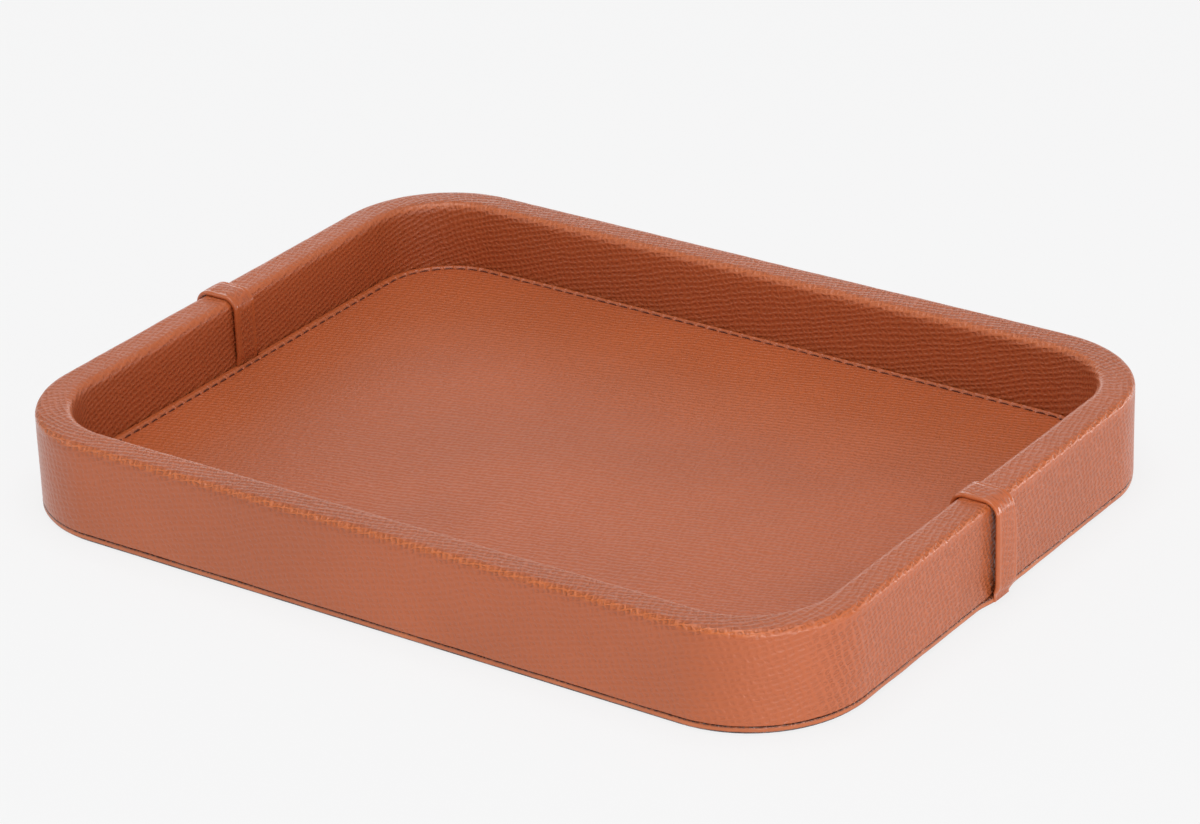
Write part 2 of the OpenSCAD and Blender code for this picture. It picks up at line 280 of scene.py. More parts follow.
def over_rim(out, z):
    """Distance up the right wall, over the rim and down inside, from the foot of the wall."""
    outer_z = RIM_Z - RIM_OUTER_R
    inner_z = RIM_Z - RIM_INNER_R
    top_start = outer_z - FOOT_Z + QUARTER * RIM_OUTER_R
    top_end = top_start + RIM_TOP_W
    if out > -RIM_OUTER_R:
        if z <= outer_z:
            return z - FOOT_Z
        return outer_z - FOOT_Z + RIM_OUTER_R * math.atan2(z - outer_z, out + RIM_OUTER_R)
    if out > RIM_INNER_R - WALL_T:
        return top_start - RIM_OUTER_R - out
    if z > inner_z:
        return top_end + RIM_INNER_R * math.atan2(RIM_INNER_R - WALL_T - out, z - inner_z)
    return top_end + QUARTER * RIM_INNER_R + inner_z - z


def row_place(x, y):
    """A point's distance out from the stitch row, and its place in a stitch's pitch, 0 to 1."""
    x, y = abs(x), abs(y)
    if x <= ROW_X:
        return y - ROW_Y - ROW_R, (x / ROW_X + 1) / 2 * STITCHES_LONG % 1
    if y <= ROW_Y:
        return x - ROW_X - ROW_R, (y / ROW_Y + 1) / 2 * STITCHES_SHORT % 1
    turn = math.atan2(y - ROW_Y, x - ROW_X) / QUARTER
    return math.hypot(x - ROW_X, y - ROW_Y) - ROW_R, turn * STITCHES_CORNER % 1


# Drawing, sweeping and finishing a mesh

def draw_line(bm, tip, x=0.0, y=0.0, z=0.0, steps=1):
    """Draws on from a vertex in equal steps, and returns the new tip."""
    for _ in range(steps):
        tip = bmesh.ops.extrude_vert_indiv(bm, verts=[tip])["verts"][0]
        bmesh.ops.translate(bm, vec=Vector((x, y, z)) / steps, verts=[tip])
    return tip


def draw_arc(bm, tip, centre, axis, angle=QUARTER, steps=6):
    """Draws an arc on from a vertex, and returns the new tip."""
    made = bmesh.ops.spin(
        bm, geom=[tip], cent=centre, axis=axis, dvec=(0, 0, 0), angle=angle, steps=steps,
        use_merge=False, use_normal_flip=False, use_duplicate=False)
    return [part for part in made["geom_last"] if isinstance(part, bmesh.types.BMVert)][0]


def measure_section(bm, skin):
    """Stores how far along the drawn section each vertex lies. Sweeping copies the value on.

    Returns the width of the skin, which the first vertices draw."""
    layer = bm.verts.layers.float.new("across")
    verts = list(bm.verts)
    for last, vert in zip(verts, verts[1:]):
        vert[layer] = last[layer] + (vert.co - last.co).length
    return verts[skin - 1][layer]


def grow(bm, edges, move):
    """Extrudes edges by a move. Returns the new edges, and the ones that lead to them."""
    made = bmesh.ops.extrude_edge_only(bm, edges=edges)["geom"]
    verts = [part for part in made if isinstance(part, bmesh.types.BMVert)]
    bmesh.ops.translate(bm, vec=move, verts=verts)
    fresh = set(verts)
    ahead = [
        part for part in made
        if isinstance(part, bmesh.types.BMEdge) and fresh.issuperset(part.verts)]
    ring = set(ahead)
    return ahead, [edge for vert in verts for edge in vert.link_edges if edge not in ring]


def sweep_bend(bm, edges, centre, axis, steps):
    """Sweeps edges round a quarter bend, and returns the last ones."""
    verts = list(dict.fromkeys(vert for edge in edges for vert in edge.verts))
    made = bmesh.ops.spin(
        bm, geom=verts + edges, cent=centre, axis=axis, dvec=(0, 0, 0), angle=QUARTER,
        steps=steps, use_merge=False, use_normal_flip=False, use_duplicate=False)
    return [part for part in made["geom_last"] if isinstance(part, bmesh.types.BMEdge)]


def sweep_path(bm, edges, runs, bends, step, bend_steps):
    """Sweeps a section along straight runs with a quarter bend between each and the next.

    bends gives each bend's centre and axis. The runs are cut into steps at the end."""
    long_edges = []
    for number, run in enumerate(runs):
        if number:
            edges = sweep_bend(bm, edges, *bends[number - 1], bend_steps)
        edges, leading = grow(bm, edges, Vector(run))
        long_edges.append((leading, round(Vector(run).length / step) - 1))
    for leading, cuts in long_edges:
        bmesh.ops.subdivide_edges(bm, edges=leading, cuts=cuts)
    return edges


def sweep_ring(bm, edges, step):
    """Sweeps a section at y = 0 on the right wall all the way round, and closes the ring."""
    runs = (
        (0, CORNER_Y, 0), (-2 * CORNER_X, 0, 0), (0, -2 * CORNER_Y, 0), (2 * CORNER_X, 0, 0),
        (0, CORNER_Y, 0))
    sweep_path(bm, edges, runs, OUTLINE_BENDS, step, round(QUARTER * BEND_R / step))
    bmesh.ops.remove_doubles(bm, verts=bm.verts, dist=WELD)


def fill_loop(bm, edges):
    """Closes a loop of edges with triangles."""
    made = bmesh.ops.edgeloop_fill(bm, edges=edges)
    bmesh.ops.triangulate(bm, faces=made["faces"])


def uneven(bm, amount, size, seed, share):
    """Moves the surface in and out a little, in soft waves of about that size.

    share says how much of it each vertex takes."""
    bm.normal_update()
    offset = Vector((seed, 2 * seed, 3 * seed))
    moves = [
        vert.normal * (amount * share(vert) * noise.noise(vert.co / size + offset))
        for vert in bm.verts]
    for vert, move in zip(bm.verts, moves):
        vert.co += move


def set_share(bm, name, share):
    """Stores a share from 0 to 1 for each vertex, which a finish reads by that name."""
    layer = bm.verts.layers.float.new(name)
    for vert in bm.verts:
        vert[layer] = share(vert)


def set_map(bm, place):
    """Lays the leather's grain on the faces, by two distances over it for each vertex."""
    layer = bm.loops.layers.uv.new("UVMap")
    for vert in bm.verts:
        spot = place(vert)
        for loop in vert.link_loops:
            loop[layer].uv = spot


def finish_piece(bm, name, material, nodes, sharp=math.radians(50)):
    """Turns the faces outwards, shades them softly and hands the piece to the frame."""
    bmesh.ops.recalc_face_normals(bm, faces=bm.faces)
    for face in bm.faces:
        face.smooth = True
    for edge in bm.edges:
        edge.smooth = edge.calc_face_angle(0) < sharp
    mesh = bpy.data.meshes.new(name)
    bm.to_mesh(mesh)
    bm.free()
    mesh.materials.append(material)
    piece = bpy.data.objects.new(name, mesh)
    bpy.context.scene.collection.objects.link(piece)
    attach(piece, "root")
    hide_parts(*nodes)
    return piece


# The nodes of a finish

def add(tree, kind, inputs=None, **settings):
    """Adds a node. inputs gives its sockets numbers, colours or other nodes' outputs."""
    made = tree.nodes.new("ShaderNode" + kind)
    for name, value in settings.items():
        setattr(made, name, value)
    for name, value in (inputs or {}).items():
        socket = made.inputs[name]
        if isinstance(value, bpy.types.NodeSocket):
            tree.links.new(value, socket)
        else:
            socket.default_value = value
    return made


def maths(tree, operation, first, second=0.0):
    return add(tree, "Math", {0: first, 1: second}, operation=operation).outputs[0]


def eased(tree, value, low, high, to_low=0.0, to_high=1.0):
    """The value from low to high, eased into the range from to_low to to_high."""
    ends = {"Value": value, "From Min": low, "From Max": high, "To Min": to_low, "To Max": to_high}
    return add(tree, "MapRange", ends, interpolation_type="SMOOTHSTEP").outputs[0]


def mixed(tree, share, low, high, blend_type="MIX"):
    """A colour between two, by a share. The node's colour sockets are 6 and 7, and 2 comes out."""
    sockets = {0: share, 6: low, 7: high}
    return add(tree, "Mix", sockets, data_type="RGBA", blend_type=blend_type).outputs[2]


def soft_noise(tree, place, scale, detail=2.0, dimensions="3D", output="Fac"):
    sockets = {"Vector": place, "Scale": scale, "Detail": detail}
    return add(tree, "TexNoise", sockets, noise_dimensions=dimensions).outputs[output]


def object_place(tree):
    return add(tree, "TexCoord").outputs["Object"]


def shared(tree, name):
    return add(tree, "Attribute", attribute_name=name).outputs["Fac"]


def finish_of(name, roughness=0.5, **numbers):
    """A new material, its node tree and its shader."""
    material = bpy.data.materials.new(name)
    material.use_nodes = True
    tree = material.node_tree
    shader = tree.nodes["Principled BSDF"]
    shader.inputs["Roughness"].default_value = roughness
    for socket, value in numbers.items():
        shader.inputs[socket.replace("_", " ")].default_value = value
    return material, tree, shader


def bumped(tree, shader, height, distance, under=None):
    """Raises the surface by height times distance, on top of another bump if one is given."""
    sockets = {"Height": height, "Distance": distance}
    if under is not None:
        sockets["Normal"] = under
    normal = add(tree, "Bump", sockets).outputs[0]
    tree.links.new(normal, shader.inputs["Normal"])
    return normal


def swayed(tree, place, scale, detail, reach):
    """Places moved about by a soft noise of that scale, as far as reach along each axis."""
    sway = soft_noise(tree, place, scale, detail, "2D", "Color")
    sockets = {0: sway, 1: reach, 2: place}
    return add(tree, "VectorMath", sockets, operation="MULTIPLY_ADD").outputs[0]


def pressed_grain(tree, columns, ripples):
    """A net of wavy ridges round small pits. Returns 1 on a ridge and 0 in a pit.

    columns is the height of the ridges that run across the rows, as a share. ripples is how far
    the ridges wander, in pits."""
    place = add(tree, "UVMap", uv_map="UVMap").outputs["UV"]
    cells = add(tree, "Mapping", {
        "Vector": place, "Rotation": (0, 0, GRAIN_TURN), "Scale": (GRAIN_W, GRAIN_H, 1),
    }, vector_type="TEXTURE").outputs[0]
    rows = swayed(tree, cells, scale=0.045, detail=2.0, reach=(2.2, 2.8, 0))
    wander = (ripples, 0.75 * ripples, 0)
    rippled = swayed(tree, rows, scale=0.55, detail=1.0, reach=wander)
    breaks = soft_noise(tree, rippled, 0.8, 1.0, "2D")
    axes = add(tree, "SeparateXYZ", {0: rippled}).outputs
    ridges = []
    for axis, full in ((0, columns), (1, 1.0)):
        wave = maths(tree, "COSINE", maths(tree, "MULTIPLY", axes[axis], 2 * math.pi))
        ridge = eased(tree, wave, -0.7, 1.0, 0.0, full)
        ridges.append(maths(tree, "MULTIPLY", ridge, eased(tree, breaks, 0.3, 0.55, 0.6, 1.0)))
    product = maths(tree, "MULTIPLY", *ridges)
    return maths(tree, "SUBTRACT", maths(tree, "ADD", *ridges), product)


def fine_creases(tree):
    """Short creases across a rubbed edge. Returns 1 on a fold and 0 between the folds."""
    stretched = add(tree, "Mapping", {
        "Vector": add(tree, "UVMap", uv_map="UVMap").outputs["UV"],
        "Scale": (CREASES_ACROSS, CREASES_ALONG, 1),
    }).outputs[0]
    return eased(tree, soft_noise(tree, stretched, 1.0, 2.0, "2D"), 0.35, 0.65)


def grained_leather(name, deep, pale, worn_and_lit, depth, columns, ripples):
    """Tan leather with a pressed grain, a little darker in its pits: partly its own tone, partly
    painted shade.

    It turns a lighter orange along its rubbed edges, partly real wear and partly painted light,
    and its grain is flattened where smoothed does."""
    material, tree, shader = finish_of(
        name, Coat_Weight=0.22, Coat_Roughness=0.17, Specular_IOR_Level=0.42)
    place = object_place(tree)
    grain = pressed_grain(tree, columns, ripples)
    wear_and_light = shared(tree, "edge_wear_and_light")
    smoothed = shared(tree, "smoothed")
    flat = maths(tree, "MULTIPLY", smoothed, maths(tree, "SUBTRACT", grain, 0.7))
    grain = maths(tree, "SUBTRACT", grain, flat)

    # Darker in the grain's pits: partly the leather's own tone, partly painted shade, as the bump
    # casts none
    ridge = eased(tree, grain, 0.1, 0.9)
    colour = mixed(tree, ridge, deep, pale)
    shade = eased(tree, soft_noise(tree, place, 14.0, 2.0), 0.3, 0.7)
    patchy = mixed(tree, shade, (0.95, 0.95, 0.95, 1), (1.05, 1.05, 1.05, 1))
    colour = mixed(tree, 1.0, colour, patchy, "MULTIPLY")
    creases = fine_creases(tree)
    # The rubbed edges' lighter orange: partly real wear, partly painted light on the rounded edges
    rubbed_and_lit = mixed(tree, eased(tree, maths(tree, "ADD", ridge, creases), 0.4, 1.6), *worn_and_lit)
    tree.links.new(mixed(tree, wear_and_light, colour, rubbed_and_lit), shader.inputs["Base Color"])

    rough = eased(tree, grain, 0.2, 0.9, 0.50, 0.42)
    rough = maths(tree, "SUBTRACT", rough, maths(tree, "MULTIPLY", wear_and_light, 0.20))
    rough = maths(tree, "SUBTRACT", rough, eased(tree, smoothed, 0.60, 0.75, 0.0, 0.18))
    tree.links.new(maths(tree, "MAXIMUM", rough, 0.2), shader.inputs["Roughness"])

    pores = bumped(tree, shader, soft_noise(tree, place, 1800.0, 2.0), 0.02 * MM)
    folds = bumped(tree, shader, maths(tree, "MULTIPLY", creases, wear_and_light), 0.12 * MM, pores)
    bumped(tree, shader, grain, depth, folds)
    return material


def turned_leather(name, deep, pale, paint_and_shadow):
    """Thin turned leather, burnished, with uneven glossy dark paint: real edge paint in the joint
    above the lip, and a painted shadow under the lip.
    """
    material, tree, shader = finish_of(name)
    place = object_place(tree)
    shade = soft_noise(tree, place, 60.0, 3.0)
    colour = mixed(tree, eased(tree, shade, 0.3, 0.7), deep, pale)
    gaps = eased(tree, soft_noise(tree, place, 750.0, 3.0), 0.32, 0.58, 0.4, 1.0)
    # The dark colour is real edge paint in the joint above the lip, and painted contact shadow
    # under the lip
    painted_and_shaded = maths(tree, "MULTIPLY", shared(tree, "edge_paint_and_shadow"), gaps)
    tree.links.new(mixed(tree, painted_and_shaded, colour, paint_and_shadow), shader.inputs["Base Color"])
    tree.links.new(eased(tree, painted_and_shaded, 0.0, 0.6, 0.25, 0.10), shader.inputs["Roughness"])
    creases = soft_noise(tree, place, 700.0, 3.0)
    fine = bumped(tree, shader, creases, 0.06 * MM)
    lumps = maths(tree, "MULTIPLY", soft_noise(tree, place, 1300.0, 2.0), painted_and_shaded)
    bumped(tree, shader, lumps, 0.45 * MM, fine)
    return material


def waxed_thread(name, dark, light):
    """Twisted thread, its strands slanting round it."""
    material, tree, shader = finish_of(name, roughness=0.7, Specular_IOR_Level=0.1)
    place = add(tree, "UVMap", uv_map="UVMap").outputs["UV"]
    axes = add(tree, "SeparateXYZ", {0: place}).outputs
    phase = maths(tree, "ADD", axes[0], axes[1])
    twist = eased(tree, maths(tree, "SINE", phase), -1.0, 1.0)
    tree.links.new(mixed(tree, twist, dark, light), shader.inputs["Base Color"])
    bumped(tree, shader, twist, 0.06 * MM)
    return material


def plain_finish(name, dark, light, scale, stretch=(1, 1, 1), roughness=0.7, metallic=0.0):
    """A raw stock material in two shades with a fine surface, drawn out along one axis."""
    material, tree, shader = finish_of(name, roughness, Metallic=metallic)
    place = add(tree, "Mapping", {"Vector": object_place(tree), "Scale": stretch}).outputs[0]
    figure = soft_noise(tree, place, scale, 5.0)
    shade = eased(tree, figure, 0.3, 0.7)
    tree.links.new(mixed(tree, shade, dark, light), shader.inputs["Base Color"])
    bumped(tree, shader, figure, 0.05 * MM)
    return material


# The pieces

def on_end_wall(x):
    """1 over an end wall, fading to 0 beside it."""
    return smooth_step(HALF_L - WALL_T - END_FADE, HALF_L - WALL_T, abs(x))


def rim_wear_and_light(x, across):
    """How far the walls' leather is rubbed and lit orange: along its two edges, and less on the
    end walls. It is partly real wear and partly painted light.
    """
    end = on_end_wall(x)
    outer = near(*OUTER_WEAR_W, across - OUTER_EDGE - OUTER_WEAR_OFF)
    inner = near(*INNER_WEAR_W, across - INNER_EDGE)
    return max(
        outer * (OUTER_WEAR - OUTER_WEAR_LESS * end), inner * (INNER_WEAR - INNER_WEAR_LESS * end))


def rim_smoothed(x, across):
    """How flat the grain of the walls' leather is pressed."""
    off_outer = across - OUTER_EDGE
    off_inner = across - INNER_EDGE
    outer_end = smooth_step(HALF_L - OUTER_END_FADE, HALF_L, abs(x))
    corner = smooth_step(0, CORNER_R / 2, abs(x) - CORNER_X)
    inside = smooth_step(0, EDGE_FADE, off_inner)
    top = FLAT_TOP * on_end_wall(x) * smooth_step(0, EDGE_FADE, off_outer) * (1 - inside)
    outer_wall = FLAT_OUTER_WALL * (1 - outer_end) * (1 - smooth_step(-EDGE_FADE, 0, off_outer))
    band = FLAT_BAND * corner * near(*FLAT_BAND_W, off_outer + FLAT_BAND_BELOW)
    inner_edge = FLAT_INNER_EDGE * near(*FLAT_INNER_EDGE_W, off_inner)
    return max(top, outer_wall, band, inner_edge, FLAT_INNER_WALL * inside)


def rim_section(bm, y):
    """Draws the section of the walls' leather on the right wall. Returns the skin's width."""
    outer_centre = (HALF_L - RIM_OUTER_R, y, RIM_Z - RIM_OUTER_R)
    inner_centre = (HALF_L - WALL_T + RIM_INNER_R, y, RIM_Z - RIM_INNER_R)
    start = bm.verts.new((HALF_L - HEM_W - LEATHER_T, y, FOOT_Z))
    tip = draw_line(bm, start, x=HEM_W + LEATHER_T - FOLD_R)
    tip = draw_arc(bm, tip, (HALF_L - FOLD_R, y, FOOT_Z + FOLD_R), OVER)
    tip = draw_line(bm, tip, z=RIM_WALL_H, steps=14)
    tip = draw_arc(bm, tip, outer_centre, OVER, steps=8)
    tip = draw_line(bm, tip, x=-RIM_TOP_W, steps=5)
    tip = draw_arc(bm, tip, inner_centre, OVER, steps=8)
    tip = draw_line(bm, tip, z=-RIM_INNER_H, steps=12)
    skin = len(bm.verts)
    tip = draw_line(bm, tip, x=LEATHER_T)
    tip = draw_line(bm, tip, z=RIM_INNER_H)
    tip = draw_arc(bm, tip, inner_centre, OVER, -QUARTER, 3)
    tip = draw_line(bm, tip, x=RIM_TOP_W)
    tip = draw_arc(bm, tip, outer_centre, OVER, -QUARTER, 3)
    tip = draw_line(bm, tip, z=FOLD_R - LEATHER_T - RIM_WALL_H)
    tip = draw_line(bm, tip, x=-HEM_W)
    bm.edges.new((tip, start))
    return measure_section(bm, skin)


def rim_wrap(name, node, side, seed, material):
    """Leather from under one strap round the front (side -1) or back (side 1) to the other."""
    bm = bmesh.new()
    y = SEAM_GAP / 2
    skin_w = rim_section(bm, y)
    section = list(bm.edges)
    runs = ((0, CORNER_Y - y, 0), (-2 * CORNER_X, 0, 0), (0, y - CORNER_Y, 0))
    bend_steps = round(QUARTER * BEND_R / PATH_STEP)
    end = sweep_path(bm, section, runs, OUTLINE_BENDS, PATH_STEP, bend_steps)
    fill_loop(bm, section)
    fill_loop(bm, end)
    turn = Matrix.Rotation(0 if side > 0 else math.pi, 3, "Z")
    bmesh.ops.rotate(bm, verts=bm.verts, cent=(0, 0, 0), matrix=turn)
    bmesh.ops.recalc_face_normals(bm, faces=bm.faces)
    across = bm.verts.layers.float["across"]

    def outside(vert):
        return smooth_step(0, WALL_START, vert[across]) if vert[across] < skin_w else 0.0

    def place(vert):
        return along(-side * vert.co.x, -side * vert.co.y) + seed, vert[across]

    uneven(bm, *RIM_SLACK, seed, share=outside)
    uneven(bm, *RIM_RIPPLE, seed + 1, share=outside)
    set_share(bm, "edge_wear_and_light", lambda vert: rim_wear_and_light(vert.co.x, vert[across]))
    set_share(bm, "smoothed", lambda vert: rim_smoothed(vert.co.x, vert[across]))
    set_map(bm, place)
    return finish_piece(bm, name, material, [node])


def sweep_over_wall(bm, section):
    """Sweeps a section up the right wall, over the rim and down inside, and closes its ends."""
    outer_z = RIM_Z - RIM_OUTER_R - STRAP_OFF
    inner_z = RIM_Z - RIM_INNER_R - STRAP_OFF_INSIDE
    start_z = section[0].verts[0].co.z
    runs = (
        (0, 0, outer_z - start_z), (-RIM_TOP_W, 0, 0), (0, 0, FLOOR_Z - inner_z))
    bends = (
        ((HALF_L - RIM_OUTER_R, 0, outer_z), OVER),
        ((HALF_L - WALL_T + RIM_INNER_R, 0, inner_z), OVER))
    fill_loop(bm, section)
    fill_loop(bm, sweep_path(bm, section, runs, bends, STRAP_STEP, bend_steps=12))
    for vert in bm.verts:
        x, z = vert.co.x, vert.co.z
        if x > HALF_L:
            over = x - HALF_L - STRAP_OFF
            taper = 1 - smooth_step(0, TAPER_H, z - FOOT_Z)
            over *= 1 - taper * (1 - TAB_T / STRAP_T)
            off = smooth_step(0, 2 * TAPER_H, z - FOOT_Z) * (STRAP_OFF - STRAP_OFF_FOOT)
            lean = STRAP_LEAN * (0.5 + vert.co.y / STRAP_W) * (1 - smooth_step(
                outer_z - LEAN_FADE, outer_z + RIM_OUTER_R, z))
            vert.co.x = HALF_L + STRAP_OFF_FOOT + off + lean * (1 - taper) + over
            vert.co.y *= 1 - taper * TAB_SHOULDER / (STRAP_W / 2)
        elif x < HALF_L - WALL_T:
            vert.co.x += STRAP_OFF_INSIDE * (1 - smooth_step(MAT_Z, MAT_Z + INSIDE_FADE, z))
    bmesh.ops.recalc_face_normals(bm, faces=bm.faces)


def strap(name, node, side, seed, material):
    """A strap with turned edges over the right (side 1) or left (side -1) wall."""
    bm = bmesh.new()
    z = STRAP_FOOT_Z
    under = HALF_L + STRAP_OFF
    low = under + STRAP_LOW_R
    high = under + STRAP_T - STRAP_TOP_R
    rise = high - low
    edge = STRAP_W / 2
    face = STRAP_W - 2 * STRAP_TOP_R
    lip = edge - STRAP_LOW_R - CORE_W / 2
    start = bm.verts.new((under, -CORE_W / 2, z))
    tip = draw_line(bm, start, y=-lip)
    tip = draw_arc(bm, tip, (low, STRAP_LOW_R - edge, z), UP, steps=5)
    tip = draw_line(bm, tip, x=rise)
    tip = draw_arc(bm, tip, (high, STRAP_TOP_R - edge, z), UP, steps=7)
    tip = draw_line(bm, tip, y=face, steps=24)
    tip = draw_arc(bm, tip, (high, edge - STRAP_TOP_R, z), UP, steps=7)
    tip = draw_line(bm, tip, x=-rise)
    tip = draw_arc(bm, tip, (low, edge - STRAP_LOW_R, z), UP, steps=5)
    tip = draw_line(bm, tip, y=-lip)
    skin = len(bm.verts)
    tip = draw_line(bm, tip, x=CORE_T)
    tip = draw_line(bm, tip, y=-CORE_W)
    bm.edges.new((tip, start))
    skin_w = measure_section(bm, skin)
    for vert in bm.verts:
        if vert.co.x > high:
            offset = abs(vert.co.y) / edge
            crown = STRAP_CROWN * offset * offset
            crease_off = edge - CREASE_IN - abs(vert.co.y)
            crease = CREASE_D * math.exp(-(crease_off / CREASE_W) ** 2)
            vert.co.x -= crown + crease
    sweep_over_wall(bm, list(bm.edges))
    across = bm.verts.layers.float["across"]

    def outside(vert):
        return 1 if lip < vert[across] < skin_w - lip else 0

    def place(vert):
        return over_rim(vert.co.x - HALF_L, vert.co.z) + seed, vert.co.y

    def edge_share(vert, far_in, near_in):
        return smooth_step(edge - far_in, edge - near_in, abs(vert.co.y))

    set_share(bm, "edge_wear_and_light", lambda vert: STRAP_WEAR * edge_share(vert, *STRAP_WEAR_IN))
    set_share(bm, "smoothed", lambda vert: (
        STRAP_FLAT + (1 - STRAP_FLAT) * edge_share(vert, *STRAP_FLAT_IN)))
    set_map(bm, place)
    uneven(bm, *STRAP_RIPPLE, seed, share=outside)
    bmesh.ops.scale(bm, vec=(side, 1, 1), verts=bm.verts)
    return finish_piece(bm, name, material, [node])


def strap_board(name, node, side, material):
    """The stiffener inside a strap, which follows its leather."""
    bm = bmesh.new()
    start = bm.verts.new((HALF_L + STRAP_OFF, -CORE_W / 2, FOOT_Z))
    tip = draw_line(bm, start, x=CORE_T)
    tip = draw_line(bm, tip, y=CORE_W)
    tip = draw_line(bm, tip, x=-CORE_T)
    bm.edges.new((tip, start))
    sweep_over_wall(bm, list(bm.edges))
    bmesh.ops.scale(bm, vec=(side, 1, 1), verts=bm.verts)
    return finish_piece(bm, name, material, [node])


def bulge_share(y):
    """How far the strap's end behind it lifts the base's leather, as a share along the end."""
    return near(BULGE_FLAT, BULGE_REACH, y)


def base_edge(material):
    """The leather edge of the base, bulging where the straps' ends lie behind it."""
    bm = bmesh.new()
    flat = BASE_HEM_W - BASE_EDGE_R
    lip = BASE_T - 2 * BASE_EDGE_R
    inside = BASE_HEM_W - BASE_LEATHER_T
    x = HALF_L - BASE_EDGE_R
    start = bm.verts.new((HALF_L - BASE_HEM_W, 0, BASE_Z))
    tip = draw_line(bm, start, x=flat, steps=3)
    tip = draw_arc(bm, tip, (x, 0, BASE_Z + BASE_EDGE_R), OVER)
    tip = draw_line(bm, tip, z=lip)
    tip = draw_arc(bm, tip, (x, 0, BASE_Z + BASE_T - BASE_EDGE_R), OVER)
    tip = draw_line(bm, tip, x=-flat, steps=3)
    tip = draw_line(bm, tip, z=-BASE_LEATHER_T)
    tip = draw_line(bm, tip, x=inside, steps=3)
    tip = draw_line(bm, tip, z=2 * BASE_LEATHER_T - BASE_T)
    tip = draw_line(bm, tip, x=-inside, steps=3)
    bm.edges.new((tip, start))
    sweep_ring(bm, list(bm.edges), PATH_STEP)
    for vert in bm.verts:
        depth = smooth_step(-BASE_HEM_W, -BASE_EDGE_R, abs(vert.co.x) - HALF_L)
        vert.co.x += math.copysign(BULGE_OUT * bulge_share(vert.co.y) * depth, vert.co.x)
    bmesh.ops.recalc_face_normals(bm, faces=bm.faces)

    def outside(vert):
        return smooth_step(*BASE_LOOSE_OUT, outward(vert.co.x, vert.co.y))

    def top_outside(vert):
        return outside(vert) * smooth_step(*BASE_LOOSE_UP, (vert.co.z - BASE_Z) / BASE_T)

    # Dark in the joint above the lip, which is real edge paint, and along the lip's underside,
    # which is painted contact shadow
    def paint_and_shadow(vert):
        out = outward(vert.co.x, vert.co.y)
        if abs(vert.co.x) > HALF_L:
            out -= BULGE_OUT * bulge_share(vert.co.y)
        rise = vert.co.z - BASE_Z
        above = (1 - smooth_step(-PAINT_ABOVE_W, 0.0, out)) * (rise > BASE_T / 2)
        return max(above, 1 - smooth_step(*SHADOW_BELOW_H, rise))

    set_share(bm, "edge_paint_and_shadow", paint_and_shadow)
    uneven(bm, *BASE_SLACK, seed=5, share=outside)
    uneven(bm, *BASE_RIPPLE, seed=6, share=top_outside)
    return finish_piece(bm, "base_edge", material, ["base_cover"])


def mat_height(x, y):
    """Height of the mat's face over its plain level, from its roll, groove and thread holes.

    Between two stitches the leather puckers up, so its groove is shallower and its roll wider."""
    out, place = row_place(x, y)
    out /= MM
    off_hole = abs(abs(place - 0.5) * STITCH_PITCH - STITCH_L / 2) / MM
    hole = math.exp(-(off_hole / HOLE_R) ** 2)
    pucker = smooth_step(*PUCKER_PLACE, abs(place - 0.5))
    groove = math.exp(-(out / GROOVE_W) ** 2)
    groove *= GROOVE_D - PUCKER_GROOVE * pucker + HOLE_D * hole
    roll = smooth_step(
        ROLL_START - PUCKER_ROLL_START * pucker, ROLL_END - PUCKER_ROLL_END * pucker, out)
    crest = ROLL_H + PUCKER_ROLL_H * pucker
    return (crest * roll - groove) * MM


